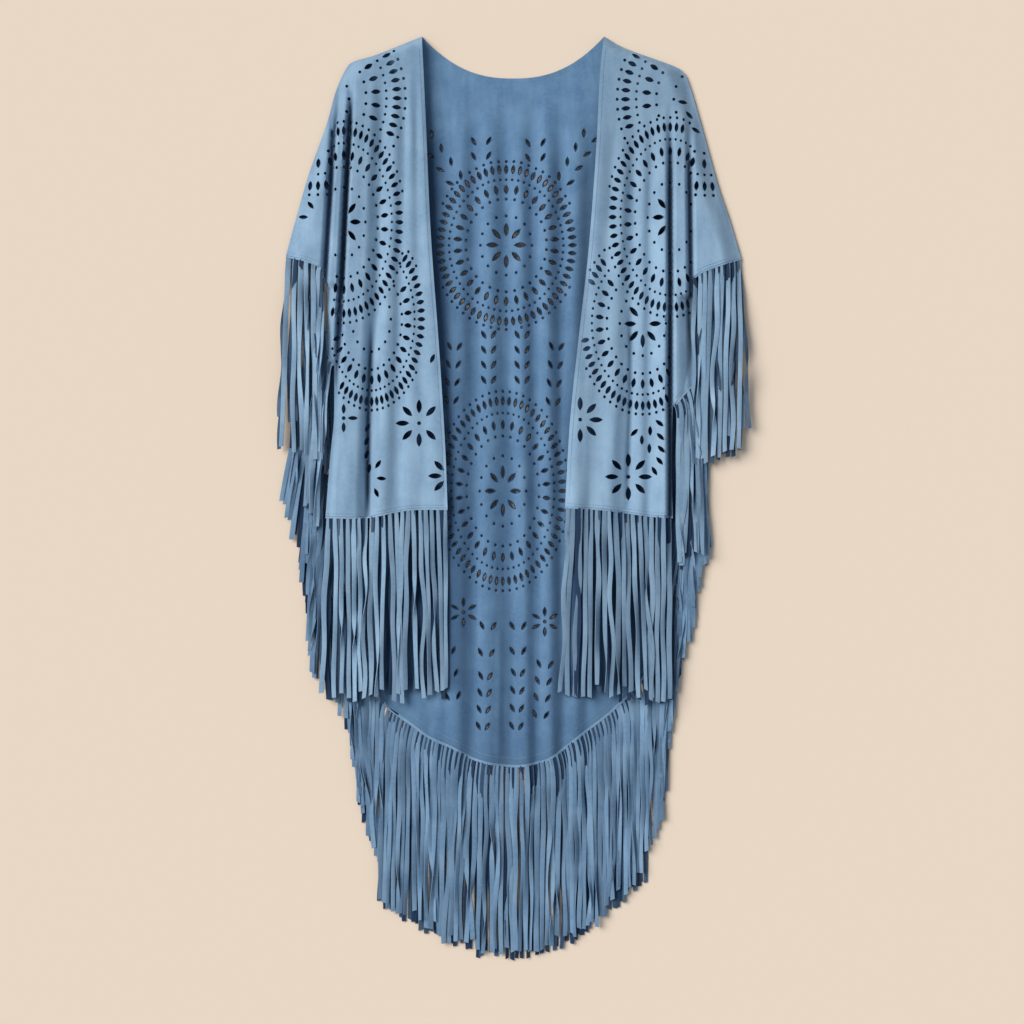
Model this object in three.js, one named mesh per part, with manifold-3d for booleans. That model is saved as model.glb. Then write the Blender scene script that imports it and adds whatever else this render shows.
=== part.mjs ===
// An open-front poncho in soft suede, cut with round flower medallions and leaf sprays,
// with long fringe at its sleeves, front hems and back hem. It lies on its back, fronts up.
// Millimetres. +X is to the right as seen from above, +Y points to the neck and +Z up.
// Tables give x from the centre line, and down, the distance below the two neck points.

import * as THREE from 'three';
import { mergeGeometries, mergeVertices } from 'three/addons/utils/BufferGeometryUtils.js';
import Module from 'manifold-3d';

const wasm = await Module();
wasm.setup();

// Driving sizes
const TOTAL_LENGTH = 1116;
const NECK_HALF_WIDTH = 109;
const NECK_DROP = 50;
const NECK_ROUNDNESS = 2.4;
const NECK_STEPS = 12;
const WALL = 2;
const STEEPEST_WALL = 1.7;
const SLOPE_STEP = 1;
const MERGE_DISTANCE = 1e-4;
const SEAM_GAP = 0.3;
const FRONT_LIFT = 12;
const SETTLE_WIDTH = 24;
const FOLD_SPAN = 560;
const FOLD_END = 90;
const SIDES_OPEN = 350;
const SIDES_FREE = 480;

// Fringe: a narrow heading, parted from the cloth by the seam gap, carries the strands.
const HEADING = 8;
const HEADING_BITE = 3;
const HEADING_WALL = 2;
const STRAND_WIDTH = 4.2;
const STRAND_THICKNESS = 1.3;
const STRAND_FLOAT = 0.35;
const FALL_SPREAD = 14;
const LAYER_STEP = 2.4;
const BEND = { lean: 0.35, fall: 0.45 };

// Cut-outs
const EDGE_MARGIN = 2;
const CUT_SPACING = 7;
const BELOW_ALL = -10;
const ABOVE_ALL = 70;
const PETAL = { length: 17, width: 6.6 };
const LEAF = { length: 12.5, width: 5 };
const SLOT = { length: 11.5, width: 4.7 };
const RING_SLOTS = 22;
const RING_RADIUS = 0.735;
const RING_PETALS = 8;
const PETAL_RADIUS = 0.21;
const SMALL_FLOWER = 15;
const COVER_RADIUS = 1.12;

// The outer edge that the back and both fronts share: shoulder line, sleeve edge, sleeve hem
// and side, from the neck point to where each side opens.
const SHARED_EDGE = {
  left: [
    { x: -109, down: 0 }, { x: -164, down: 22 }, { x: -188, down: 29 }, { x: -199, down: 37 },
    { x: -212, down: 65 }, { x: -224, down: 107 }, { x: -244, down: 163 }, { x: -260, down: 218 },
    { x: -272, down: 262 }, { x: -243, down: 270 }, { x: -229, down: 278 }, { x: -223, down: 300 },
    { x: -223, down: 354 },
  ],
  right: [
    { x: 109, down: 0 }, { x: 134, down: 14 }, { x: 189, down: 34 }, { x: 203, down: 42 },
    { x: 211, down: 57 }, { x: 225, down: 104 }, { x: 245, down: 176 }, { x: 259, down: 218 },
    { x: 273, down: 265 }, { x: 230, down: 280 }, { x: 214, down: 290 }, { x: 216, down: 330 },
    { x: 218, down: 406 },
  ],
};

// The rest of the back's edge, from the left side round the hem to the right side.
const BACK_LOWER_EDGE = [
  { x: -222, down: 436 }, { x: -216, down: 543 }, { x: -205, down: 628 }, { x: -188, down: 700 },
  { x: -172, down: 757 }, { x: -150, down: 803 }, { x: -121, down: 823 }, { x: -98, down: 839 },
  { x: -70, down: 851 }, { x: -43, down: 865 }, { x: -5, down: 872 }, { x: 20, down: 870 },
  { x: 45, down: 862 }, { x: 79, down: 836 }, { x: 116, down: 808 }, { x: 150, down: 775 },
  { x: 172, down: 735 }, { x: 186, down: 684 }, { x: 197, down: 618 }, { x: 206, down: 540 },
  { x: 213, down: 470 },
];

// The rest of each front's edge, from its open side round the hem and up to the neck point.
const FRONT_OWN_EDGE = {
  left: [
    { x: -230, down: 367 }, { x: -214, down: 394 }, { x: -214, down: 458 }, { x: -218, down: 500 },
    { x: -224, down: 575 }, { x: -175, down: 575 }, { x: -126, down: 566 }, { x: -78, down: 565 },
    { x: -81, down: 490 }, { x: -88, down: 377 }, { x: -98, down: 239 }, { x: -104, down: 105 },
  ],
  right: [
    { x: 218, down: 413 }, { x: 191, down: 443 }, { x: 190, down: 510 }, { x: 191, down: 575 },
    { x: 162, down: 573 }, { x: 110, down: 566 }, { x: 62, down: 563 }, { x: 68, down: 460 },
    { x: 78, down: 364 }, { x: 90, down: 258 }, { x: 99, down: 140 }, { x: 104, down: 44 },
  ],
};

// The seams that hold the fronts down: the shared edge without the sleeve hems, which are
// open, so that below them the line steps in from the sleeve to the side.
const SEAMS = {
  left: [
    ...SHARED_EDGE.left.slice(0, 9), { x: -274, down: 280 }, { x: -223, down: 302 },
    ...SHARED_EDGE.left.slice(-1),
  ],
  right: [
    ...SHARED_EDGE.right.slice(0, 9), { x: 275, down: 292 }, { x: 216, down: 314 },
    ...SHARED_EDGE.right.slice(-1),
  ],
};

// Fold lines run down the cloth from x = top, level with the neck, to x = low, FOLD_SPAN
// below it. rise is how far the cloth stands above or below its plain lie on that line, and
// until is how far down a fold goes that ends above the hem.
const BACK_FOLDS = [
  { top: -300, low: -300, rise: 0 }, { top: -150, low: -140, rise: 0 },
  { top: -108, low: -104, rise: 4 }, { top: -84, low: -84, rise: 6 },
  { top: -62, low: -65, rise: 13 }, { top: -46, low: -48, rise: 6 },
  { top: -28, low: -29, rise: 14 }, { top: -12, low: -6, rise: 6 },
  { top: 6, low: 12, rise: 13 }, { top: 22, low: 26, rise: 6 },
  { top: 38, low: 42, rise: 15 }, { top: 56, low: 58, rise: 6 },
  { top: 74, low: 74, rise: 11 }, { top: 94, low: 92, rise: 5 },
  { top: 138, low: 130, rise: 0 }, { top: 300, low: 300, rise: 0 },
];
const FRONT_FOLDS = {
  left: [
    { top: -292, low: -262, rise: 0 }, { top: -217, low: -249, rise: 2 },
    { top: -208, low: -240, rise: -9, until: 400 }, { top: -199, low: -229, rise: 4, until: 400 },
    { top: -190, low: -219, rise: -10, until: 430 }, { top: -181, low: -207, rise: 5 },
    { top: -168, low: -190, rise: 4 },
    { top: -154, low: -174, rise: -5 }, { top: -138, low: -158, rise: 5 },
    { top: -127, low: -138, rise: 0 }, { top: -122, low: -125, rise: 3 },
    { top: -116, low: -109, rise: 0 }, { top: -112, low: -92, rise: 2 },
    { top: -108, low: -78, rise: 0 }, { top: -90, low: -58, rise: 0 },
  ],
  right: [
    { top: 86, low: 42, rise: 0 }, { top: 108, low: 62, rise: 0 },
    { top: 113, low: 77, rise: 2 }, { top: 122, low: 96, rise: 0 },
    { top: 134, low: 115, rise: 3 }, { top: 147, low: 138, rise: -4 },
    { top: 157, low: 152, rise: 0 }, { top: 166, low: 162, rise: -3 },
    { top: 178, low: 177, rise: 5 }, { top: 188, low: 188, rise: -10 },
    { top: 198, low: 200, rise: 5 }, { top: 209, low: 216, rise: -8, until: 400 },
    { top: 218, low: 226, rise: 2 }, { top: 300, low: 300, rise: 0 },
  ],
};
const FOLDS_BEGIN = { back: 50, left: 25, right: 70 };
const FOLDS_FULL = { back: 170, left: 130, right: 185 };
const ROWS = {
  back: [-5, 50, 80, 110, 140, 175, 230, 310, 390, 470, 550, 630, 710, 790, 880],
  front: [-5, 25, 50, 80, 125, 175, 225, 270, 320, 370, 420, 480, 535, 585],
};

// Round medallions: size is the radius of their outer ring, squeeze how far the folds narrow
// them, and reach how far from the centre line their cuts go before a fold ends them, petals
// the same for the flower in the middle. over lists the medallions that lie over this one, so
// that its cuts stop there.
const MEDALLIONS = {
  back: [
    { x: -8, down: 251, size: 91, squeeze: 0.87, reach: 200, petals: 200, over: [] },
    { x: -12, down: 545, size: 108, squeeze: 0.66, reach: 200, petals: 200, over: [] },
  ],
  left: [
    { x: -202, down: 224, size: 109, squeeze: 0.61, reach: 217, petals: 200, over: [] },
    { x: -169, down: 340, size: 98, squeeze: 0.61, reach: 217, petals: 0, over: [0] },
    { x: -233, down: 76, size: 104, squeeze: 0.91, reach: 280, petals: 280, over: [0] },
  ],
  right: [
    { x: 188, down: 218, size: 108, squeeze: 0.64, reach: 213, petals: 186, over: [] },
    { x: 155, down: 345, size: 98, squeeze: 0.72, reach: 187, petals: 187, over: [0] },
    { x: 229, down: 77, size: 104, squeeze: 0.91, reach: 280, petals: 280, over: [0] },
  ],
};

// Loose flowers: petals stand in an even ring, reach from the centre.
const FLOWERS = {
  back: [
    { x: -59, down: 690, petals: 6, reach: 12 },
    { x: 38, down: 701, petals: 6, reach: 12 },
  ],
  left: [
    { x: -112, down: 464, petals: 8, reach: 20 },
    { x: -76, down: 527, petals: 8, reach: 17 },
    { x: -202, down: 458, petals: 4, reach: 11 },
  ],
  right: [
    { x: 80, down: 460, petals: 8, reach: 19 },
    { x: 138, down: 528, petals: 8, reach: 20 },
  ],
};

// Single leaves, turned by so many degrees from straight down
const LEAVES = {
  back: [],
  left: [
    { x: -242, down: 203, turn: 40 }, { x: -251, down: 217, turn: 85 },
    { x: -174, down: 469, turn: -25 },
    { x: -175, down: 485, turn: -20 }, { x: -175, down: 501, turn: -20 },
    { x: -161, down: 513, turn: -35 }, { x: -157, down: 530, turn: 85 },
    { x: -163, down: 547, turn: 25 }, { x: -172, down: 518, turn: -10 },
    { x: -97, down: 510, turn: 25 }, { x: -96, down: 387, turn: -25 },
    { x: -90, down: 405, turn: -15 },
  ],
  right: [
    { x: 203, down: 80, turn: 85 }, { x: 211, down: 95, turn: 45 },
    { x: 219, down: 113, turn: 60 },
    { x: 246, down: 197, turn: -35 }, { x: 175, down: 464, turn: 50 },
    { x: 176, down: 480, turn: 45 }, { x: 177, down: 495, turn: 45 },
    { x: 175, down: 509, turn: 40 }, { x: 169, down: 521, turn: 30 },
    { x: 164, down: 473, turn: 0 }, { x: 163, down: 494, turn: 0 },
    { x: 159, down: 511, turn: -10 }, { x: 145, down: 475, turn: -45 },
    { x: 154, down: 484, turn: 0 },
  ],
};

// Leaf sprays: pairs of leaves stand off a stem from x, down to toX, toDown.
const SPRAYS = {
  back: [
    { x: -69, down: 172, toX: -104, toDown: 122, pairs: 4, spread: 8 },
    { x: 62, down: 172, toX: 92, toDown: 120, pairs: 4, spread: 8 },
    { x: -38, down: 144, toX: -38, toDown: 126, pairs: 2, spread: 9 },
    { x: 27, down: 146, toX: 27, toDown: 128, pairs: 2, spread: 9 },
    { x: -29, down: 412, toX: -29, toDown: 358, pairs: 4, spread: 6 },
    { x: 11, down: 412, toX: 11, toDown: 358, pairs: 4, spread: 6 },
    { x: -74, down: 436, toX: -70, toDown: 372, pairs: 3, spread: 6 },
    { x: 48, down: 438, toX: 52, toDown: 372, pairs: 3, spread: 6 },
    { x: -36, down: 826, toX: -33, toDown: 766, pairs: 3, spread: 5.5 },
    { x: 4, down: 826, toX: 6, toDown: 762, pairs: 3, spread: 5.5 },
    { x: 33, down: 812, toX: 38, toDown: 752, pairs: 3, spread: 7 },
    { x: -72, down: 790, toX: -78, toDown: 748, pairs: 2, spread: 7 },
    { x: -32, down: 738, toX: -30, toDown: 706, pairs: 2, spread: 7 },
    { x: 6, down: 736, toX: 6, toDown: 706, pairs: 2, spread: 7 },
  ],
  left: [],
  right: [],
};
const LEAF_LEAN = 0.5;

const suedeFront = { color: 0x8ba8c1, roughness: 0.92, metalness: 0 };
const suedeBack = { color: 0x668bb0, roughness: 0.92, metalness: 0 };
const suedeFringe = { color: 0x5f85a8, roughness: 0.92, metalness: 0 };

function yOf(down) {
  return TOTAL_LENGTH / 2 - down;
}

function smoothStep(value, from, to) {
  return THREE.MathUtils.smoothstep(value, from, to);
}

// An even but irregular number from 0 to 1 for each strand.
function unevenness(index) {
  const wave = Math.sin(index * 12.9898) * 43758.5453;
  return wave - Math.floor(wave);
}

// x of a fold line at a given distance down the cloth
function lineX(line, down) {
  return THREE.MathUtils.lerp(line.top, line.low, down / FOLD_SPAN);
}

// Rise of a fold line, which fades out over its last stretch
function riseOf(line, down) {
  const shown = line.until ? 1 - smoothStep(down, line.until - FOLD_END, line.until) : 1;
  return line.rise * shown;
}

// Height of the folds at a point: half a wave between each pair of fold lines
function foldRise(lines, x, down) {
  for (let i = 0; i < lines.length - 1; i += 1) {
    const from = lineX(lines[i], down);
    const to = lineX(lines[i + 1], down);
    if (x >= from && x <= to) {
      const swing = (1 - Math.cos((Math.PI * (x - from)) / (to - from))) / 2;
      return THREE.MathUtils.lerp(riseOf(lines[i], down), riseOf(lines[i + 1], down), swing);
    }
  }
  return 0;
}

function backUnder(x, down) {
  return foldRise(BACK_FOLDS, x, down) * smoothStep(down, FOLDS_BEGIN.back, FOLDS_FULL.back);
}

// x of the seam of one side, at a distance below the neck
function seamX(side, down) {
  const rows = SEAMS[side];
  const depth = Math.min(Math.max(down, 0), rows.at(-1).down);
  for (let i = 0; i < rows.length - 1; i += 1) {
    if (depth >= rows[i].down && depth <= rows[i + 1].down) {
      const share = (depth - rows[i].down) / (rows[i + 1].down - rows[i].down);
      return THREE.MathUtils.lerp(rows[i].x, rows[i + 1].x, share);
    }
  }
  return rows[0].x;
}

// How far in from the seam a point of a front lies, counted across the cloth
function seamDistance(side, x, down) {
  return Math.max(0, Math.abs(seamX(side, down)) - Math.abs(x));
}

// The fronts lie on the back at the seams and stand off it towards the opening, and below
// the point where the sides open, where the back's side fringe lies under them.
function frontUnder(side, x, down) {
  const distance = seamDistance(side, x, down);
  const open = smoothStep(down, SIDES_OPEN, SIDES_FREE);
  const rested = Math.max(smoothStep(distance, 0, SETTLE_WIDTH), open);
  const folded = Math.max(smoothStep(distance, 0, SETTLE_WIDTH / 4), open);
  const folds = foldRise(FRONT_FOLDS[side], x, down);
  const lie = backUnder(x, down) + WALL + SEAM_GAP;
  const fade = smoothStep(down, FOLDS_BEGIN[side], FOLDS_FULL[side]) * folded;
  return lie + Math.max(FRONT_LIFT * rested + folds * fade, 0);
}

// Height of the wall along Z, so that it keeps its thickness on a slope
function wallHeight(underAt, x, down) {
  const climb = underAt(x + SLOPE_STEP, down) - underAt(x - SLOPE_STEP, down);
  const slope = climb / (2 * SLOPE_STEP);
  return WALL * Math.min(Math.hypot(1, slope), STEEPEST_WALL);
}

// A closed solid from a geometry whose shared vertices are merged
function solidFrom(geometry) {
  const plain = geometry.clone();
  plain.deleteAttribute('normal');
  plain.deleteAttribute('uv');
  const merged = mergeVertices(plain, MERGE_DISTANCE);
  const mesh = new wasm.Mesh({
    numProp: 3,
    vertProperties: new Float32Array(merged.attributes.position.array),
    triVerts: new Uint32Array(merged.index.array),
  });
  return new wasm.Manifold(mesh);
}

function meshFrom(name, solid, finish) {
  const cut = solid.getMesh();
  const geometry = new THREE.BufferGeometry();
  geometry.setAttribute('position', new THREE.BufferAttribute(cut.vertProperties, 3));
  geometry.setIndex(new THREE.BufferAttribute(cut.triVerts, 1));
  geometry.computeVertexNormals();
  const mesh = new THREE.Mesh(geometry, new THREE.MeshStandardMaterial(finish));
  mesh.name = name;
  return mesh;
}

// A tall prism over a flat outline of { x, down } points
function prism(points, low, high) {
  const shape = new THREE.Shape(points.map((p) => new THREE.Vector2(p.x, yOf(p.down))));
  const options = { depth: high - low, bevelEnabled: false };
  return new THREE.ExtrudeGeometry(shape, options).translate(0, 0, low);
}

// A folded wall through sections at each row and fold line, before its outline is cut
function foldedWall(lines, rows, underAt) {
  const across = lines.length - 1;
  const along = rows.length - 1;
  const geometry = new THREE.BoxGeometry(1, 1, 1, across, along, 1);
  const position = geometry.attributes.position;
  for (let i = 0; i < position.count; i += 1) {
    const column = Math.round((position.getX(i) + 0.5) * across);
    const row = Math.round((0.5 - position.getY(i)) * along);
    const x = lineX(lines[column], rows[row]);
    const under = underAt(x, rows[row]);
    const top = position.getZ(i) > 0 ? wallHeight(underAt, x, rows[row]) : 0;
    position.setXYZ(i, x, yOf(rows[row]), under + top);
  }
  return solidFrom(geometry);
}

// The back neck curve, from the left neck point to the right one
function neckCurve() {
  const points = [];
  for (let i = 1; i < NECK_STEPS; i += 1) {
    const x = THREE.MathUtils.lerp(NECK_HALF_WIDTH, -NECK_HALF_WIDTH, i / NECK_STEPS);
    const depth = 1 - Math.abs(x / NECK_HALF_WIDTH) ** NECK_ROUNDNESS;
    points.push({ x, down: NECK_DROP * depth });
  }
  return points;
}

function backOutline() {
  const up = [...SHARED_EDGE.right].reverse();
  return [...SHARED_EDGE.left, ...BACK_LOWER_EDGE, ...up, ...neckCurve()];
}

function frontOutline(side) {
  return [...SHARED_EDGE[side], ...FRONT_OWN_EDGE[side]];
}

function inside(outline, x, down) {
  let odd = false;
  outline.forEach((a, i) => {
    const b = outline[(i + 1) % outline.length];
    const crosses = a.down > down !== b.down > down;
    if (crosses && x < a.x + ((down - a.down) / (b.down - a.down)) * (b.x - a.x)) {
      odd = !odd;
    }
  });
  return odd;
}

// One pointed cut-out, with its length along turn, in radians from straight down
function cutOut(x, down, turn, size, squeeze = 1) {
  const half = size.length / 2;
  const corners = [[-half, 0], [0, size.width / 2], [half, 0], [0, -size.width / 2]];
  const along = { x: Math.sin(turn), down: Math.cos(turn) };
  const points = corners.map(([u, v]) => ({
    x: x + (u * along.x + v * along.down) * squeeze,
    down: down + u * along.down - v * along.x,
  }));
  return { x, down, points };
}

// A ring of cuts: the folds narrow the ring, and the cuts themselves half as much
function ringOfCuts(centre, count, radius, size, squeeze = 1) {
  const cuts = [];
  for (let i = 0; i < count; i += 1) {
    const turn = (2 * Math.PI * i) / count;
    const x = centre.x + radius * Math.sin(turn) * squeeze;
    const down = centre.down + radius * Math.cos(turn);
    cuts.push(cutOut(x, down, turn, size, (1 + squeeze) / 2));
  }
  return cuts;
}

function coveredBy(medallion, cut) {
  const x = (cut.x - medallion.x) / (medallion.size * medallion.squeeze);
  const near = Math.hypot(x, (cut.down - medallion.down) / medallion.size) < COVER_RADIUS;
  return near && Math.abs(cut.x) < medallion.reach;
}

function medallionCuts(panel) {
  const all = MEDALLIONS[panel];
  return all.flatMap((medallion) => {
    const { size, squeeze, reach } = medallion;
    const flower = ringOfCuts(medallion, RING_PETALS, size * PETAL_RADIUS, PETAL, squeeze);
    const slots = ringOfCuts(medallion, RING_SLOTS, size * RING_RADIUS, SLOT, squeeze);
    const shown = [
      ...flower.filter((cut) => Math.abs(cut.x) < medallion.petals),
      ...slots.filter((cut) => Math.abs(cut.x) < reach),
    ];
    return shown.filter((cut) => !medallion.over.some((index) => coveredBy(all[index], cut)));
  });
}

function sprayCuts(spray) {
  const cuts = [];
  const stem = Math.atan2(spray.toX - spray.x, spray.toDown - spray.down);
  for (let i = 0; i < spray.pairs; i += 1) {
    const share = spray.pairs > 1 ? i / (spray.pairs - 1) : 0.5;
    for (const hand of [-1, 1]) {
      const x = THREE.MathUtils.lerp(spray.x, spray.toX, share);
      const down = THREE.MathUtils.lerp(spray.down, spray.toDown, share);
      const offX = hand * spray.spread * Math.cos(stem);
      const offDown = -hand * spray.spread * Math.sin(stem);
      cuts.push(cutOut(x + offX, down + offDown, stem + hand * LEAF_LEAN, LEAF));
    }
  }
  return cuts;
}

// Every cut-out of a panel that lies whole within it and clear of its neighbours
function panelCuts(panel, outline) {
  const flowers = FLOWERS[panel].flatMap((flower) => {
    const size = flower.reach > SMALL_FLOWER ? PETAL : LEAF;
    return ringOfCuts(flower, flower.petals, flower.reach, size);
  });
  const leaves = LEAVES[panel].map((leaf) => {
    return cutOut(leaf.x, leaf.down, THREE.MathUtils.degToRad(leaf.turn), LEAF);
  });
  const sprays = SPRAYS[panel].flatMap(sprayCuts);
  const wanted = [...flowers, ...leaves, ...sprays, ...medallionCuts(panel)];
  const kept = [];
  for (const cut of wanted) {
    const fits = cut.points.every((p) => {
      const scale = 1 + EDGE_MARGIN / Math.hypot(p.x - cut.x, p.down - cut.down);
      return inside(outline, cut.x + (p.x - cut.x) * scale, cut.down + (p.down - cut.down) * scale);
    });
    const near = kept.some((k) => Math.hypot(k.x - cut.x, k.down - cut.down) < CUT_SPACING);
    if (fits && !near) {
      kept.push(cut);
    }
  }
  return kept;
}

const outlines = {
  back: backOutline(),
  left: frontOutline('left'),
  right: frontOutline('right'),
};
const undersides = {
  back: backUnder,
  left: (x, down) => frontUnder('left', x, down),
  right: (x, down) => frontUnder('right', x, down),
};

function panelMesh(name, panel, lines, rows, finish) {
  const wall = foldedWall(lines, rows, undersides[panel]);
  const outline = solidFrom(prism(outlines[panel], BELOW_ALL, ABOVE_ALL));
  const cuts = panelCuts(panel, outlines[panel]);
  const cutters = mergeGeometries(cuts.map((cut) => prism(cut.points, BELOW_ALL, ABOVE_ALL)));
  return meshFrom(name, wall.intersect(outline).subtract(solidFrom(cutters)), finish);
}

// Fringes: edge is where the heading is sewn; fall is how far each strand reaches below its
// root; lean is how far its tip lies to the side; rest is the height that it lies at.
const FRINGES = [
  {
    name: 'fringe_back', panel: 'back', edge: BACK_LOWER_EDGE.slice(5, 16), count: 46,
    fall: 236, lean: { from: -8, to: 6 }, rest: 0, pitch: 9, layers: 1,
  },
  {
    name: 'fringe_back_side_left', panel: 'back',
    edge: [{ x: -223, down: 358 }, ...BACK_LOWER_EDGE.slice(0, 5), { x: -151, down: 801 }],
    count: 18,
    fall: 214, lean: { from: -44, to: 2 }, rest: 0, pitch: 40, layers: 2,
  },
  {
    name: 'fringe_back_side_right', panel: 'back',
    edge: [{ x: 151, down: 773 }, ...BACK_LOWER_EDGE.slice(16), { x: 218, down: 410 }],
    count: 16, fall: 214, lean: { from: -2, to: 18 }, rest: 0, pitch: 40, layers: 2,
  },
  {
    name: 'fringe_front_left', panel: 'left', edge: FRONT_OWN_EDGE.left.slice(4, 8), count: 28,
    fall: 218, lean: { from: -4, to: 3 }, rest: 8, pitch: 9, layers: 1,
  },
  {
    name: 'fringe_front_right', panel: 'right', edge: FRONT_OWN_EDGE.right.slice(3, 7).reverse(),
    count: 26, fall: 218, lean: { from: -3, to: 4 }, rest: 8, pitch: 9, layers: 1,
  },
  {
    name: 'fringe_side_left', panel: 'left', edge: FRONT_OWN_EDGE.left.slice(0, 2), count: 4,
    fall: 205, lean: { from: -18, to: -14 }, rest: 6, pitch: 40, layers: 1,
  },
  {
    name: 'fringe_side_right', panel: 'right', edge: FRONT_OWN_EDGE.right.slice(0, 2).reverse(),
    count: 6, fall: 205, lean: { from: 1, to: 4 }, rest: 6, pitch: 40, layers: 1,
  },
  {
    name: 'fringe_sleeve_left', panel: 'left', edge: SHARED_EDGE.left.slice(8, 11), count: 10,
    fall: 232, lean: { from: -9, to: 4 }, rest: 8.5, pitch: 40, layers: 1,
  },
  {
    name: 'fringe_sleeve_right', panel: 'right',
    edge: [{ x: 222, down: 285.2 }, ...SHARED_EDGE.right.slice(8, 10).reverse()], count: 10,
    fall: 232, lean: { from: -2, to: 5 }, rest: 8.5, pitch: 40, layers: 1,
  },
  {
    name: 'fringe_sleeve_back_left', panel: 'back', edge: SHARED_EDGE.left.slice(8, 10), count: 7,
    fall: 214, lean: { from: -6, to: 2 }, rest: 5.5, pitch: 40, layers: 1,
  },
  {
    name: 'fringe_sleeve_back_right', panel: 'back',
    edge: SHARED_EDGE.right.slice(8, 10).reverse(), count: 7,
    fall: 214, lean: { from: -2, to: 6 }, rest: 5.5, pitch: 40, layers: 1,
  },
];

// Points along an edge, with its corners, no further apart than pitch, and each one's height
function stationsOf(edge, pitch, underAt) {
  const stations = [{ ...edge[0], z: underAt(edge[0].x, edge[0].down) }];
  for (let i = 0; i < edge.length - 1; i += 1) {
    const [a, b] = [edge[i], edge[i + 1]];
    const pieces = Math.ceil(Math.hypot(b.x - a.x, b.down - a.down) / pitch);
    for (let k = 1; k <= pieces; k += 1) {
      const x = THREE.MathUtils.lerp(a.x, b.x, k / pieces);
      const down = THREE.MathUtils.lerp(a.down, b.down, k / pieces);
      stations.push({ x, down, z: underAt(x, down) });
    }
  }
  return stations;
}

// The direction square to one piece of a row of stations, away from the cloth
function outward(stations, index) {
  const [a, b] = [stations[index], stations[index + 1]];
  const length = Math.hypot(b.x - a.x, b.down - a.down);
  return { x: -(b.down - a.down) / length, down: (b.x - a.x) / length };
}

// A station moved away from the cloth, along the mean of the directions on its two sides
function movedOut(stations, index, distance) {
  const before = outward(stations, Math.max(index - 1, 0));
  const after = outward(stations, Math.min(index, stations.length - 2));
  const mean = { x: before.x + after.x, down: before.down + after.down };
  const scale = (2 * distance) / (mean.x * mean.x + mean.down * mean.down);
  const at = stations[index];
  return { x: at.x + mean.x * scale, down: at.down + mean.down * scale, z: at.z };
}

// The point at a share of the way along a row of points
function alongRow(row, share) {
  const lengths = row.slice(1).map((p, i) => Math.hypot(p.x - row[i].x, p.down - row[i].down));
  let left = share * lengths.reduce((sum, length) => sum + length, 0);
  let i = 0;
  while (i < lengths.length - 1 && left > lengths[i]) {
    left -= lengths[i];
    i += 1;
  }
  const mix = (key) => THREE.MathUtils.lerp(row[i][key], row[i + 1][key], left / lengths[i]);
  return { x: mix('x'), down: mix('down'), z: mix('z') };
}

function headingSolid(stations) {
  const pieces = stations.length - 1;
  const geometry = new THREE.BoxGeometry(1, 1, 1, pieces, 1, 1);
  const position = geometry.attributes.position;
  for (let i = 0; i < position.count; i += 1) {
    const index = Math.round((position.getX(i) + 0.5) * pieces);
    const out = position.getY(i) > 0 ? SEAM_GAP : SEAM_GAP + HEADING;
    const corner = movedOut(stations, index, out);
    const top = position.getZ(i) > 0 ? HEADING_WALL : 0;
    position.setXYZ(i, corner.x, yOf(corner.down), corner.z + top);
  }
  return solidFrom(geometry);
}

// A flat strand of three sides through its root, a bend and its tip
function strandSolid(path) {
  const side = STRAND_WIDTH / 2;
  const section = new THREE.Shape([
    new THREE.Vector2(-side, 0), new THREE.Vector2(side, 0), new THREE.Vector2(0, STRAND_THICKNESS),
  ]);
  const steps = path.length - 1;
  const geometry = new THREE.ExtrudeGeometry(section, { depth: 1, steps, bevelEnabled: false });
  const position = geometry.attributes.position;
  for (let i = 0; i < position.count; i += 1) {
    const at = path[Math.round(position.getZ(i) * steps)];
    position.setXYZ(i, at.x + position.getX(i), yOf(at.down), at.z + position.getY(i));
  }
  return solidFrom(geometry);
}

// The least height at which a strand clears the back's folds between its bend and its tip
function clearOfBack(bend, tip) {
  const heights = [];
  for (const share of [0, 0.5, 1]) {
    const x = THREE.MathUtils.lerp(bend.x, tip.x, share);
    const down = THREE.MathUtils.lerp(bend.down, tip.down, share);
    for (const side of [-STRAND_WIDTH, 0, STRAND_WIDTH]) {
      heights.push(backUnder(x + side / 2, down));
    }
  }
  return Math.max(...heights) + WALL * STEEPEST_WALL + SEAM_GAP;
}

function fringeMesh(fringe, offset) {
  const stations = stationsOf(fringe.edge, fringe.pitch, undersides[fringe.panel]);
  const roots = stations.map((_, i) => movedOut(stations, i, SEAM_GAP + HEADING - HEADING_BITE));
  let solid = headingSolid(stations);
  for (let i = 0; i < fringe.count; i += 1) {
    const share = (i + 0.5) / fringe.count;
    const root = alongRow(roots, share);
    const lean = THREE.MathUtils.lerp(fringe.lean.from, fringe.lean.to, share);
    const fall = fringe.fall - FALL_SPREAD * unevenness(offset + i);
    const bend = { x: root.x + lean * BEND.lean, down: root.down + fall * BEND.fall };
    const tip = { x: root.x + lean, down: root.down + fall };
    const plain = fringe.rest + (i % fringe.layers) * LAYER_STEP + STRAND_FLOAT;
    const rest = fringe.panel === 'back' ? plain : Math.max(plain, clearOfBack(bend, tip));
    solid = solid.add(strandSolid([
      { ...root, z: root.z + STRAND_FLOAT }, { ...bend, z: rest }, { ...tip, z: rest },
    ]));
  }
  return meshFrom(fringe.name, solid, suedeFringe);
}

const poncho = new THREE.Group();
poncho.add(panelMesh('back', 'back', BACK_FOLDS, ROWS.back, suedeBack));
poncho.add(panelMesh('front_left', 'left', FRONT_FOLDS.left, ROWS.front, suedeFront));
poncho.add(panelMesh('front_right', 'right', FRONT_FOLDS.right, ROWS.front, suedeFront));
FRINGES.forEach((fringe, index) => {
  poncho.add(fringeMesh(fringe, index * 100));
});

export default poncho;
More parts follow.
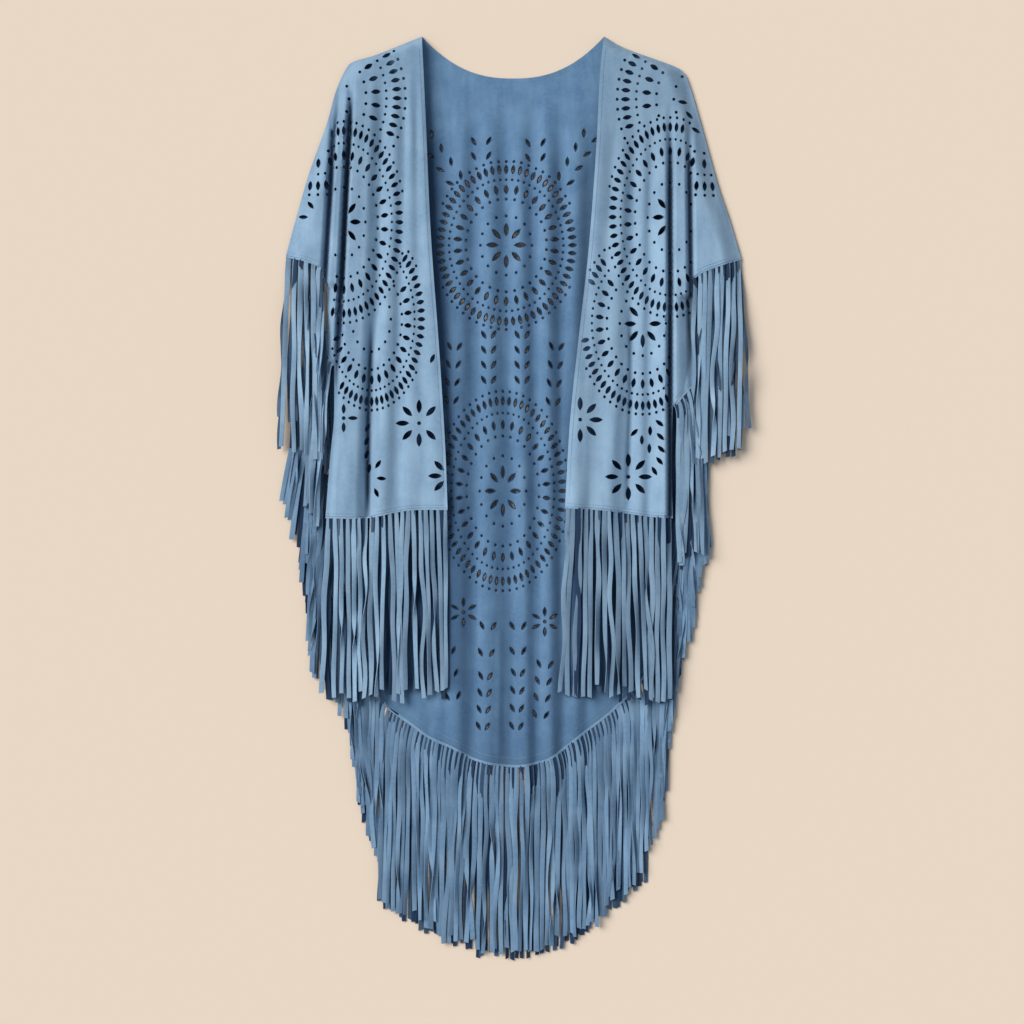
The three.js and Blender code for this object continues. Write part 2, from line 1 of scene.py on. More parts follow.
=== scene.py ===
import math

import bpy
import numpy as np
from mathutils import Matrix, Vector, geometry


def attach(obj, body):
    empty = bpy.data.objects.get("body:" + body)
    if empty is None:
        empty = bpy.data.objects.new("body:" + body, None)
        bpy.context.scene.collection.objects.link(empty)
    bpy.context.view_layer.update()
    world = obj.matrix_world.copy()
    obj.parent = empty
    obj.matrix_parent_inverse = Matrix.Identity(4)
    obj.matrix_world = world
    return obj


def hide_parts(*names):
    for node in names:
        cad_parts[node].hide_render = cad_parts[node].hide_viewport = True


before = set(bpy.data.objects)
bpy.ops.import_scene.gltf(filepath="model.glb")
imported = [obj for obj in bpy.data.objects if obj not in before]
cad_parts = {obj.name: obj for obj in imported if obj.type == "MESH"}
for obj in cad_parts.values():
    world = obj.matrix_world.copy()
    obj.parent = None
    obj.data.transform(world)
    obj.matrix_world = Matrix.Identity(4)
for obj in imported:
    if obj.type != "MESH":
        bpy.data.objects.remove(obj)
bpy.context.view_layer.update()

# Driving sizes
MM = 0.001
TOTAL_LENGTH = 1116
NECK_HALF_WIDTH = 109
NECK_DROP = 50
NECK_ROUNDNESS = 2.4
CAD_WALL = 2.0
CLOTH = 1.3
STEEPEST_WALL = 1.7
SEAM_GAP = 0.3
FRONT_LIFT = 12
SETTLE_WIDTH = 24
FOLD_SPAN = 560
FOLD_END = 90
SIDES_OPEN = 350
SIDES_FREE = 480
OUTLINE_STEP = 4.0

# The outer edge that the back and both fronts share, from the neck point to where each side
# opens: shoulder and sleeve edge, then the sleeve hem, then the side.
SHARED_EDGE = {
    "left": [
        [(-109, 0), (-164, 22), (-188, 29), (-199, 37), (-212, 65), (-224, 107), (-244, 163),
         (-260, 218), (-272, 262)],
        [(-272, 262), (-243, 270), (-229, 278)],
        [(-229, 278), (-223, 300), (-223, 354)],
    ],
    "right": [
        [(109, 0), (134, 14), (189, 34), (203, 42), (211, 57), (225, 104), (245, 176),
         (259, 218), (273, 265)],
        [(273, 265), (230, 280), (214, 290)],
        [(214, 290), (216, 330), (218, 406)],
    ],
}
BACK_LOWER_EDGE = [
    (-223, 354), (-222, 436), (-216, 543), (-205, 628), (-188, 700), (-172, 757), (-150, 803),
    (-121, 823), (-98, 839), (-70, 851), (-43, 865), (-5, 872), (20, 870), (45, 862),
    (79, 836), (116, 808), (150, 775), (172, 735), (186, 684), (197, 618), (206, 540),
    (213, 470), (218, 406),
]
FRONT_OWN_EDGE = {
    "left": [
        [(-223, 354), (-230, 367)],
        [(-230, 367), (-222, 377), (-214, 394)],
        [(-214, 394), (-214, 458), (-218, 500), (-224, 575)],
        [(-224, 575), (-175, 575), (-126, 566), (-78, 565)],
        [(-78, 565), (-81, 490), (-88, 377), (-98, 239), (-104, 105), (-109, 0)],
    ],
    "right": [
        [(218, 406), (218, 413)],
        [(218, 413), (204, 427), (191, 443)],
        [(191, 443), (190, 510), (191, 575)],
        [(191, 575), (162, 573), (110, 566), (62, 563)],
        [(62, 563), (68, 460), (78, 364), (90, 258), (99, 140), (104, 44), (109, 0)],
    ],
}

# The seams that hold the fronts down: below the sleeve hem the line steps in to the side
SEAMS = {
    "left": SHARED_EDGE["left"][0] + [(-274, 280), (-223, 302), (-223, 354)],
    "right": SHARED_EDGE["right"][0] + [(275, 292), (216, 314), (218, 406)],
}

# Fold lines: x level with the neck, x FOLD_SPAN below it, the rise on that line, and for a
# fold that ends above the hem, how far down it goes
BACK_FOLDS = [
    (-300, -300, 0), (-150, -140, 0), (-108, -104, 4), (-84, -84, 6), (-62, -65, 13),
    (-46, -48, 6), (-28, -29, 14), (-12, -6, 6), (6, 12, 13), (22, 26, 6), (38, 42, 15),
    (56, 58, 6), (74, 74, 11), (94, 92, 5), (138, 130, 0), (300, 300, 0),
]
FRONT_FOLDS = {
    "left": [
        (-292, -262, 0), (-216, -248, 2), (-208, -240, -8, 380), (-201, -232, 4, 400),
        (-197, -226, 4, 430), (-190, -219, -10, 430), (-183, -211, 5), (-168, -190, 4),
        (-154, -174, -5), (-138, -158, 5), (-127, -138, 0), (-122, -125, 3), (-116, -109, 0),
        (-112, -92, 2), (-108, -78, 0), (-90, -58, 0),
    ],
    "right": [
        (86, 42, 0), (108, 62, 0), (113, 77, 2), (122, 96, 0), (134, 115, 3), (147, 138, -4),
        (157, 152, 0), (166, 162, -3), (181, 181, 4), (188, 188, -7.5), (195, 195, 4),
        (202, 208, 4), (209, 216, -7, 400), (216, 224, 2), (300, 300, 0),
    ],
}

# How far down each panel's folds begin and are full
FOLDS_BEGIN = {"back": 50, "left": 25, "right": 70}
FOLDS_FULL = {"back": 170, "left": 130, "right": 185}

# Creases: x and down of both ends, half width, and rise. Negative is a trough.
# They fade out over CREASE_FADE, inside and past each end, and wander with CREASE_WAVE.
CREASE_FADE = (40, 20)
CREASE_WANDER = 0.3
CREASE_WAVE = 37
CREASES = {
    "back": [
        (-20, 70, -14, 200, 9, 1.2), (48, 90, 40, 260, 10, 1.4), (-60, 60, -48, 180, 12, 1.0),
        (-2, 430, 4, 640, 6, -1.5), (-38, 500, -36, 820, 5, 1.4), (66, 420, 60, 800, 7, 1.5),
        (30, 640, 32, 860, 6, 1.6), (-78, 560, -88, 840, 8, 1.4), (-18, 700, -16, 868, 4, 1.4),
    ],
    "left": [
        (-213, 95, -219, 220, 2.8, -3), (-195, 95, -208, 370, 2.8, -3.5),
        (-147, 90, -150, 260, 5, -1.4), (-160, 60, -168, 300, 6, 1.0),
        (-134, 200, -141, 400, 4, -1.2), (-118, 330, -113, 560, 6, 0.8),
        (-186, 400, -192, 560, 9, 1.6), (-214, 410, -212, 560, 8, -1.5),
        (-171, 350, -175, 575, 3, -4.5), (-254, 120, -262, 240, 10, 1.2),
        (-236, 130, -246, 250, 6, -1.2), (-150, 380, -152, 570, 6, 1.0),
    ],
    "right": [
        (188, 150, 188, 560, 2.8, -1.4), (137, 100, 127, 300, 5, 1.0),
        (128, 60, 112, 240, 5, -1.2), (160, 190, 160, 430, 5, -0.6),
        (141, 330, 138, 563, 3.5, -3.0), (100, 300, 84, 560, 6, 0.9),
        (88, 380, 74, 560, 5, -0.8), (182, 240, 181, 560, 4, 1.2),
        (250, 130, 262, 240, 10, 1.2), (232, 130, 242, 250, 6, -1.0),
        (122, 420, 118, 566, 6, 1.0),
    ],
}

# Round medallions: x, down, radius of the outer ring, squeeze, how far from the centre line
# the cuts go before a fold ends them, the same for the flower in the middle, and those
# medallions that lie over it
MEDALLIONS = {
    "back": [(-8, 251, 91, 0.87, 200, 200, []), (-12, 545, 108, 0.66, 200, 200, [])],
    "left": [
        (-202, 224, 109, 0.61, 217, 200, []), (-169, 340, 98, 0.61, 217, 0, [0]),
        (-233, 76, 104, 0.91, 280, 280, [0]),
    ],
    "right": [
        (188, 218, 108, 0.64, 213, 186, []), (155, 345, 98, 0.72, 187, 187, [0]),
        (229, 77, 104, 0.91, 280, 280, [0]),
    ],
}
COVER_RADIUS = 1.12

# Cut-outs: length and width
PETAL = (17, 6.6)
LEAF = (12.5, 5)
INNER_SLOT = (12.4, 6.0)
OUTER_SLOT = (12.4, 5.8)
DOT = (4.1, 4.1)
SMALL_DOT = (3.7, 3.7)
FLOWER_EYE = (5, 5)

# Rings of a medallion: share of its radius, number of cuts, and the cut
RINGS = [
    (0.21, 8, PETAL), (0.39, 16, DOT), (0.61, 30, DOT), (0.735, 30, INNER_SLOT),
    (0.865, 60, SMALL_DOT), (1.0, 60, OUTER_SLOT), (1.105, 60, DOT),
]

# Flowers: x, down, number of petals, how far out they lie, and the cut
FLOWERS = {
    "back": [(-59, 690, 6, 12, LEAF), (38, 701, 6, 12, LEAF)],
    "left": [(-112, 464, 8, 20, PETAL), (-76, 527, 8, 17, PETAL), (-202, 458, 4, 11, LEAF)],
    "right": [(80, 460, 8, 19, PETAL), (138, 528, 8, 20, PETAL)],
}

# Single leaves: x, down, and degrees from straight down
LEAVES = {
    "back": [],
    "left": [
        (-242, 203, 40), (-251, 217, 85), (-174, 469, -25), (-175, 485, -20), (-175, 501, -20),
        (-161, 513, -35), (-157, 530, 85), (-163, 547, 25), (-172, 518, -10), (-97, 510, 25),
        (-96, 387, -25), (-90, 405, -15),
    ],
    "right": [
        (203, 80, 85), (211, 95, 45), (219, 113, 60), (246, 197, -35), (175, 464, 50),
        (176, 480, 45), (177, 495, 45), (175, 509, 40), (169, 521, 30), (164, 473, 0),
        (163, 494, 0), (159, 511, -10), (145, 475, -45), (154, 484, 0),
    ],
}

# Leaf sprays: stem from x, down to x, down, then the pairs of leaves and their spread
SPRAYS = {
    "back": [
        (-69, 172, -104, 122, 4, 8), (62, 172, 92, 120, 4, 8), (-38, 144, -38, 126, 2, 9),
        (27, 146, 27, 128, 2, 9), (-29, 412, -29, 358, 4, 6), (11, 412, 11, 358, 4, 6),
        (-74, 436, -70, 372, 4, 6), (48, 438, 52, 372, 4, 6), (-36, 826, -33, 766, 4, 5.5),
        (4, 826, 6, 762, 4, 5.5), (33, 812, 38, 752, 4, 7), (-72, 790, -78, 736, 3, 7),
        (-32, 738, -30, 706, 2, 7), (6, 736, 6, 706, 2, 7),
    ],
    "left": [],
    "right": [],
}
LEAF_LEAN = 0.5
CUT_CLEARANCE = 0.8
EDGE_CLEARANCE = 2.0
DOT_CORNERS = 8
LEAF_STEPS = 5
LEAF_FULLNESS = 0.85

CLOTH_NODES = {"back": "back", "left": "front_left", "right": "front_right"}


def smooth(value, low, high):
    """0 below low, 1 above high, and a smooth step between them."""
    t = np.clip((value - low) / (high - low), 0, 1)
    return t * t * (3 - 2 * t)


def rise_of(line, down):
    """Rise of a fold line, which fades out over its last stretch."""
    if len(line) == 3:
        return line[2]
    return line[2] * (1 - smooth(down, line[3] - FOLD_END, line[3]))


def fold_rise(lines, x, down):
    """Height of the folds: half a wave between each pair of fold lines."""
    rise = np.zeros_like(x)
    share = down / FOLD_SPAN
    for a, b in zip(lines, lines[1:]):
        start = a[0] + (a[1] - a[0]) * share
        end = b[0] + (b[1] - b[0]) * share
        swing = (1 - np.cos(np.pi * (x - start) / (end - start))) / 2
        low, high = rise_of(a, down), rise_of(b, down)
        rise = np.where((x >= start) & (x <= end), low + (high - low) * swing, rise)
    return rise


def crease_rise(creases, x, down):
    """Listed soft troughs and ridges, fading out at both ends."""
    rise = np.zeros_like(x)
    within, past = CREASE_FADE
    for x0, down0, x1, down1, half, height in creases:
        along = np.clip((down - down0) / (down1 - down0), 0, 1)
        wander = half * CREASE_WANDER * np.sin(down / CREASE_WAVE + x0)
        middle = x0 + (x1 - x0) * along + wander
        ends = smooth(down, down0 - past, down0 + within)
        ends = ends * (1 - smooth(down, down1 - within, down1 + past))
        rise += height * ends * np.exp(-((x - middle) / half) ** 2)
    return rise


def seam_x(side, down):
    rows = SEAMS[side]
    return np.interp(np.clip(down, 0, rows[-1][1]), [p[1] for p in rows], [p[0] for p in rows])


def back_under(x, down):
    """Height of the back's underside."""
    fade = smooth(down, FOLDS_BEGIN["back"], FOLDS_FULL["back"])
    folds = fold_rise(BACK_FOLDS, x, down) * fade
    return np.maximum(folds + crease_rise(CREASES["back"], x, down) * fade, 0)


def front_under(side, x, down):
    """Height of a front's underside: it rests at the seams and stands off the back elsewhere."""
    distance = np.maximum(np.abs(seam_x(side, down)) - np.abs(x), 0)
    opened = smooth(down, SIDES_OPEN, SIDES_FREE)
    rested = np.maximum(smooth(distance, 0, SETTLE_WIDTH), opened)
    folded = np.maximum(smooth(distance, 0, SETTLE_WIDTH / 4), opened)
    fade = smooth(down, FOLDS_BEGIN[side], FOLDS_FULL[side]) * folded
    folds = fold_rise(FRONT_FOLDS[side], x, down) + crease_rise(CREASES[side], x, down)
    lie = back_under(x, down) + CAD_WALL + SEAM_GAP
    return lie + np.maximum(FRONT_LIFT * rested + folds * fade, 0)


UNDERSIDES = {
    "back": back_under,
    "left": lambda x, down: front_under("left", x, down),
    "right": lambda x, down: front_under("right", x, down),
}


def wall_height(under, x, down):
    """Height of the wall along Z, so that it keeps its thickness on a slope."""
    slope = (under(x + 1, down) - under(x - 1, down)) / 2
    return CLOTH * np.minimum(np.hypot(1, slope), STEEPEST_WALL)


def to_world(x, down, z):
    return np.stack([x * MM, (TOTAL_LENGTH / 2 - down) * MM, z * MM], axis=-1)


def curve_through(points, step):
    """A smooth row of points through the given ones, about step apart."""
    pts = np.array(points, float)
    if len(pts) < 3:
        count = max(1, round(np.linalg.norm(pts[-1] - pts[0]) / step))
        return pts[0] + (pts[-1] - pts[0]) * np.linspace(0, 1, count + 1)[:, None]
    padded = np.vstack([2 * pts[0] - pts[1], pts, 2 * pts[-1] - pts[-2]])
    row = []
    for a, b, c, d in zip(padded, padded[1:], padded[2:], padded[3:]):
        count = max(1, round(np.linalg.norm(c - b) / step))
        for t in np.arange(count) / count:
            row.append(0.5 * (2 * b + (c - a) * t + (2 * a - 5 * b + 4 * c - d) * t * t
                              + (3 * b - a - 3 * c + d) * t ** 3))
    row.append(pts[-1])
    return np.array(row)


def neck_curve(step):
    """The neck from the right neck point to the left one."""
    count = round(2 * NECK_HALF_WIDTH / step)
    x = np.linspace(NECK_HALF_WIDTH, -NECK_HALF_WIDTH, count + 1)
    down = NECK_DROP * (1 - np.abs(x / NECK_HALF_WIDTH) ** NECK_ROUNDNESS)
    return np.stack([x, down], axis=1)


def closed_outline(runs):
    return np.vstack([run[:-1] for run in runs])


def outline_of(panel):
    """A panel's outline as one closed row of points."""
    if panel == "back":
        left = [curve_through(run, OUTLINE_STEP) for run in SHARED_EDGE["left"]]
        right = [curve_through(run, OUTLINE_STEP)[::-1] for run in SHARED_EDGE["right"][::-1]]
        lower = curve_through(BACK_LOWER_EDGE, OUTLINE_STEP)
        return closed_outline([*left, lower, *right, neck_curve(OUTLINE_STEP)])
    runs = SHARED_EDGE[panel] + FRONT_OWN_EDGE[panel]
    return closed_outline([curve_through(run, OUTLINE_STEP) for run in runs])


def inside(outline, x, down):
    """Which points lie inside a closed outline."""
    odd = np.zeros(len(x), bool)
    nxt = np.roll(outline, -1, axis=0)
    for (ax, ad), (bx, bd) in zip(outline, nxt):
        if ad == bd:
            continue
        crosses = (ad > down) != (bd > down)
        odd ^= crosses & (x < ax + (down - ad) / (bd - ad) * (bx - ax))
    return odd


class Cut:
    """One pointed or round cut-out."""

    def __init__(self, x, down, turn, size, squeeze=1.0):
        self.x, self.down = x, down
        length, width = size
        if length == width:
            angles = 2 * np.pi * np.arange(DOT_CORNERS) / DOT_CORNERS
            u, v = length / 2 * np.cos(angles), width / 2 * np.sin(angles)
        else:
            t = np.arange(LEAF_STEPS) / LEAF_STEPS
            u = np.concatenate([-1 + 2 * t, 1 - 2 * t]) * length / 2
            belly = (1 - (2 * t - 1) ** 2) ** LEAF_FULLNESS
            v = np.concatenate([belly, -(1 - (1 - 2 * t) ** 2) ** LEAF_FULLNESS]) * width / 2
        sin, cos = math.sin(turn), math.cos(turn)
        self.points = np.stack([x + (u * sin + v * cos) * squeeze, down + u * cos - v * sin], 1)
        reach = max(length - width, 0) / 2
        self.spine = np.array([
            (x + s * reach * sin * squeeze, down + s * reach * cos) for s in (-1, -0.5, 0, 0.5, 1)
        ])
        self.radius = width / 2 * squeeze

    def clear_of(self, other):
        apart = np.linalg.norm(self.spine[:, None] - other.spine[None], axis=2).min()
        return apart > self.radius + other.radius + CUT_CLEARANCE


def ring_of_cuts(x, down, count, radius, size, squeeze=1.0):
    cuts = []
    for i in range(count):
        turn = 2 * math.pi * i / count
        at_x = x + radius * math.sin(turn) * squeeze
        cuts.append(Cut(at_x, down + radius * math.cos(turn), turn, size, (1 + squeeze) / 2))
    return cuts


def covered_by(medallion, cut):
    x, down, size, squeeze, reach = medallion[:5]
    share = math.hypot((cut.x - x) / size / squeeze, (cut.down - down) / size)
    return share < COVER_RADIUS and abs(cut.x) < reach


def medallion_cuts(panel):
    cuts = []
    for x, down, size, squeeze, reach, petals, over in MEDALLIONS[panel]:
        covers = [MEDALLIONS[panel][i] for i in over]
        for share, count, cut_size in RINGS:
            limit = petals if cut_size == PETAL else reach
            for cut in ring_of_cuts(x, down, count, size * share, cut_size, squeeze):
                if abs(cut.x) < limit and not any(covered_by(m, cut) for m in covers):
                    cuts.append(cut)
    return cuts


def spray_cuts(x, down, to_x, to_down, pairs, spread):
    cuts = []
    stem = math.atan2(to_x - x, to_down - down)
    for i in range(pairs):
        share = i / (pairs - 1) if pairs > 1 else 0.5
        at_x, at_down = x + (to_x - x) * share, down + (to_down - down) * share
        for hand in (-1, 1):
            off_x, off_down = hand * spread * math.cos(stem), -hand * spread * math.sin(stem)
            cuts.append(Cut(at_x + off_x, at_down + off_down, stem + hand * LEAF_LEAN, LEAF))
    return cuts


def panel_cuts(panel, outline):
    """Every cut-out that lies whole within its panel and clear of its neighbours."""
    wanted = []
    for x, down, petals, reach, size in FLOWERS[panel]:
        wanted += ring_of_cuts(x, down, petals, reach, size)
        wanted.append(Cut(x, down, 0, FLOWER_EYE))
    wanted += [Cut(x, down, math.radians(turn), LEAF) for x, down, turn in LEAVES[panel]]
    for spray in SPRAYS[panel]:
        wanted += spray_cuts(*spray)
    wanted += medallion_cuts(panel)
    kept = []
    for cut in wanted:
        way = cut.points - (cut.x, cut.down)
        grown = cut.points + way * (EDGE_CLEARANCE / np.linalg.norm(way, axis=1))[:, None]
        if inside(outline, grown[:, 0], grown[:, 1]).all() and all(cut.clear_of(k) for k in kept):
            kept.append(cut)
    return kept


# The cloths' triangles: how far apart their points are across and down, how clear of the edges
# they stay, and how many of an edge's points are measured at a time
GRID = {"back": (2.4, 4.6), "left": (1.7, 4.0), "right": (1.7, 4.0)}
POINT_CLEARANCE = 1.0
MERGE_DISTANCE = 1e-4
BATCH = 64


def grid_points(outline, cuts, step_x, step_down):
    """Staggered points inside the outline, POINT_CLEARANCE from it and from the cuts."""
    low, high = outline.min(axis=0), outline.max(axis=0)
    rows = np.arange(low[1] + step_down / 2, high[1], step_down)
    points = []
    for k, down in enumerate(rows):
        x = np.arange(low[0] + step_x * (0.25 + 0.5 * (k % 2)), high[0], step_x)
        points.append(np.stack([x, np.full_like(x, down)], axis=1))
    points = np.vstack(points)
    points = points[inside(outline, points[:, 0], points[:, 1])]
    for row in [outline] + [cut.points for cut in cuts]:
        middle = row.mean(axis=0)
        reach = np.linalg.norm(row - middle, axis=1).max() + 2
        near = np.linalg.norm(points - middle, axis=1) < reach
        apart = np.full(len(points), np.inf)
        close = points[near]
        for at in range(0, len(row), BATCH):
            gaps = np.linalg.norm(close[:, None] - row[None, at:at + BATCH], axis=2).min(axis=1)
            apart[near] = np.minimum(apart[near], gaps)
        keep = apart > POINT_CLEARANCE
        if row is not outline:
            keep &= ~(near & inside(row, points[:, 0], points[:, 1]))
        points = points[keep]
    return points


def loop_edges(start, count):
    return [(start + i, start + (i + 1) % count) for i in range(count)]


def flat_triangles(outline, cuts, points):
    """Triangles of the flat panel, without its cut-outs."""
    rows = [outline] + [cut.points for cut in cuts]
    edges, start = [], 0
    for row in rows:
        edges += loop_edges(start, len(row))
        start += len(row)
    coords = [Vector(p) for p in np.vstack(rows + [points]).tolist()]
    verts, _, faces, _, _, _ = geometry.delaunay_2d_cdt(coords, edges, [], 0, MERGE_DISTANCE)
    verts = np.array([tuple(v) for v in verts])
    faces = np.array([f for f in faces if len(f) == 3])
    centres = verts[faces].mean(axis=1)
    keep = inside(outline, centres[:, 0], centres[:, 1])
    for cut in cuts:
        low, high = cut.points.min(axis=0), cut.points.max(axis=0)
        near = np.flatnonzero((centres > low).all(axis=1) & (centres < high).all(axis=1))
        keep[near[inside(cut.points, centres[near, 0], centres[near, 1])]] = False
    faces = faces[keep]
    used = np.unique(faces)
    index = np.full(len(verts), -1)
    index[used] = np.arange(len(used))
    return verts[used], index[faces]


def new_object(name, verts, faces, materials, face_materials=None, sharp_angle=None):
    mesh = bpy.data.meshes.new(name)
    mesh.from_pydata(np.asarray(verts).tolist(), [], [list(f) for f in faces])
    for material in materials:
        mesh.materials.append(material)
    if face_materials is not None:
        mesh.polygons.foreach_set("material_index", np.asarray(face_materials, np.int32))
    mesh.polygons.foreach_set("use_smooth", np.ones(len(mesh.polygons), bool))
    mesh.update()
    if sharp_angle is not None:
        mesh.set_sharp_from_angle(angle=sharp_angle)
    obj = bpy.data.objects.new(name, mesh)
    bpy.context.scene.collection.objects.link(obj)
    return obj


def set_tone(obj, tones):
    """How deep the colour is at each point of a mesh, from 0 to 1, painted shade included."""
    layer = obj.data.attributes.new("tone", "FLOAT", "POINT")
    layer.data.foreach_set("value", tones)


# How far the lower rim of a cut-out stands in from its upper rim
CUT_TAPER = {"back": 2.4, "left": 0.8, "right": 0.8}
CLOTH_SHARP_ANGLE = math.radians(50)
PARTS_SHARP_ANGLE = math.radians(40)

# Painted shade in the creases: how far to each side their depth is measured, the depths at which
# the painted shade begins and is full, and how strong it is at the neck and from FOLD_SPAN down
CREASE_SHADE = {
    "back": (13, -1, 15, 0.3, 0.9), "left": (7, 2, 8, 1, 1), "right": (7, 2, 8, 1, 1),
}
DEEPEST_TONE = 0.9

# The back is darker towards its hem, as rows of down and tone. Beside the fronts it has a
# painted shadow, a tone that fades out over a distance, and below them painted shade of one tone.
BACK_TONE = ((0, 0.0), (300, 0.05), (680, 0.14), (800, 0.2), (872, 0.42))
FRONT_EDGE_SHADOW = {"left": (0.75, 24), "right": (0.42, 14)}
SHADE_BELOW_FRONT = 0.85
BELOW_EDGE = (2, 12)
BELOW_BEGINS = (40, 120)
BESIDE_BEGINS = (60, 160)

# The fronts reach to their sleeves down to the first of SLEEVES_END, to SLEEVE_REACH, and from
# the second on to FRONT_OUTER_X, and their fringe ends over FRONT_END
SLEEVES_END = (420, 450)
SLEEVE_REACH = 320
FRONT_OUTER_X = {"left": -226, "right": 193}
FRONT_END = (770, 800)

# The nap of the fronts is darker towards the shoulders, as rows of down and tone
FRONT_TONE = {
    "left": ((0, 0.12), (150, 0.08), (260, 0.0)), "right": ((0, 0.24), (130, 0.2), (260, 0.04)),
}


def between(rows, value):
    """The second column of a table, between the rows next to value in its first column."""
    return np.interp(value, [row[0] for row in rows], [row[1] for row in rows])


def front_edge_x(side, down):
    """x of a front's opening edge, and of its fringe further down."""
    return between(sorted((down_at, x) for x, down_at in FRONT_OWN_EDGE[side][4]), down)


def shade_below_front(x, down):
    """How far a point lies below one of the fronts or the fringe of its hem, where painted shade
    goes.
    """
    cover = np.zeros_like(x)
    for side, outer in FRONT_OUTER_X.items():
        inner = np.abs(front_edge_x(side, down))
        reach = np.interp(down, SLEEVES_END, (SLEEVE_REACH, abs(outer)))
        across = smooth(np.abs(x), inner + BELOW_EDGE[0], inner + BELOW_EDGE[1])
        across = across * (1 - smooth(np.abs(x), reach, reach + BELOW_EDGE[1]))
        along = smooth(down, *BELOW_BEGINS) * (1 - smooth(down, *FRONT_END))
        cover = np.maximum(cover, across * along * (np.sign(x) == np.sign(outer)))
    return cover


# The back's tone: darker towards the hem, with a painted shadow beside the fronts and painted shade
# below them
def back_tone_and_shade(x, down):
    tone = between(BACK_TONE, down)
    for side, (depth, reach) in FRONT_EDGE_SHADOW.items():
        apart = np.abs(front_edge_x(side, down)) - np.abs(x)
        same = np.sign(x) == (-1 if side == "left" else 1)
        ends = smooth(down, *BESIDE_BEGINS) * (1 - smooth(down, *FRONT_END))
        tone = np.maximum(tone, depth * ends * same * np.exp(-(np.maximum(apart, 0) / reach) ** 2))
    return np.maximum(tone, SHADE_BELOW_FRONT * shade_below_front(x, down))


def taper_of(flat, cuts, taper):
    """The shift of each point on the rim of a cut-out, from the upper rim to the lower."""
    shift = np.zeros_like(flat)
    places = {tuple(p): i for i, p in enumerate(np.round(flat, 2).tolist())}
    for cut in cuts:
        for point in cut.points:
            index = places.get(tuple(np.round(point, 2).tolist()))
            if index is not None:
                way = np.array((cut.x, cut.down)) - point
                shift[index] = way * taper / max(np.linalg.norm(way), 2 * cut.radius)
    return shift


def cloth_mesh(panel, materials):
    """A thin closed shell of cloth with every cut-out open."""
    outline = outline_of(panel)
    cuts = panel_cuts(panel, outline)
    flat, faces = flat_triangles(outline, cuts, grid_points(outline, cuts, *GRID[panel]))
    turn = np.cross(flat[faces[:, 1]] - flat[faces[:, 0]], flat[faces[:, 2]] - flat[faces[:, 0]])
    faces[turn > 0] = faces[turn > 0][:, ::-1]
    under = UNDERSIDES[panel]
    x, down = flat[:, 0], flat[:, 1]
    low = under(x, down)
    high = low + wall_height(under, x, down)
    count = len(flat)
    inner = flat + taper_of(flat, cuts, CUT_TAPER[panel])
    verts = np.vstack([to_world(x, down, high), to_world(inner[:, 0], inner[:, 1], low)])
    edges = np.vstack([faces[:, [0, 1]], faces[:, [1, 2]], faces[:, [2, 0]]])
    keys = np.sort(edges, axis=1)
    _, first, shared = np.unique(keys, axis=0, return_index=True, return_counts=True)
    rim = edges[first[shared == 1]]
    walls = np.stack([rim[:, 0], rim[:, 0] + count, rim[:, 1] + count, rim[:, 1]], axis=1)
    all_faces = [*faces.tolist(), *(faces[:, ::-1] + count).tolist(), *walls.tolist()]
    kinds = np.concatenate([
        np.zeros(len(faces)), np.ones(len(faces)), np.full(len(walls), 2),
    ])
    name = f"{CLOTH_NODES[panel]}_cloth"
    obj = new_object(name, verts, all_faces, materials, kinds, CLOTH_SHARP_ANGLE)
    # The tone from how deep the cloth lies between its neighbours is painted shade in the creases
    reach, begin, full, at_neck, at_span = CREASE_SHADE[panel]
    around = (under(x - reach, down) + under(x + reach, down)) / 2
    strength = np.interp(down, (0, FOLD_SPAN), (at_neck, at_span))
    tone = np.clip((around - low - begin) / (full - begin), 0, DEEPEST_TONE) * strength
    # For the back: darker towards the hem, with painted shadow and shade from the fronts. For the
    # fronts: their nap's tone.
    nap = back_tone_and_shade(x, down) if panel == "back" else between(FRONT_TONE[panel], down)
    set_tone(obj, np.tile(np.maximum(tone, nap), 2).astype(np.float32))
    return obj


# Materials. Noises of the nap: scale, detail, and where it begins and is full.
PATCH_NOISE = (34, 4, 0.38, 0.66)
STREAK_NOISE = (60, 5, 0.42, 0.7)
STREAK_STRETCH = (1.6, 0.35, 1)
MOTTLE_NOISE = (260, 6, 0.36, 0.68)
PILE_NOISE = (1500, 3, 0.3, 0.75)

# How strongly the nap's streaks, mottle and pile colour it, its relief, and its surface
STREAKS = 0.45
MOTTLE = 0.4
PILE = 0.22
MOTTLE_RELIEF = 0.5
RELIEF_STRENGTH = 0.35
RELIEF_HEIGHT = 0.5 * MM
SUEDE_SURFACE = {
    "Roughness": 0.93, "Specular IOR Level": 0.18, "Sheen Weight": 0.18,
    "Sheen Roughness": 0.55, "Sheen Tint": (0.6, 0.78, 1.0, 1),
}


def node(tree, kind, **inputs):
    """A shader node with the given input values and settings."""
    made = tree.nodes.new(kind)
    for key, value in inputs.items():
        if key in made.inputs:
            made.inputs[key].default_value = value
        else:
            setattr(made, key, value)
    return made


def mix_colour(tree, factor, a, b):
    made = tree.nodes.new("ShaderNodeMix")
    made.data_type = "RGBA"
    tree.links.new(factor, made.inputs["Factor"])
    for value, socket in ((a, made.inputs["A"]), (b, made.inputs["B"])):
        if isinstance(value, tuple):
            socket.default_value = value
        else:
            tree.links.new(value, socket)
    return made.outputs["Result"]


def scaled(tree, value, factor):
    made = node(tree, "ShaderNodeMath", operation="MULTIPLY")
    tree.links.new(value, made.inputs[0])
    made.inputs[1].default_value = factor
    return made.outputs[0]


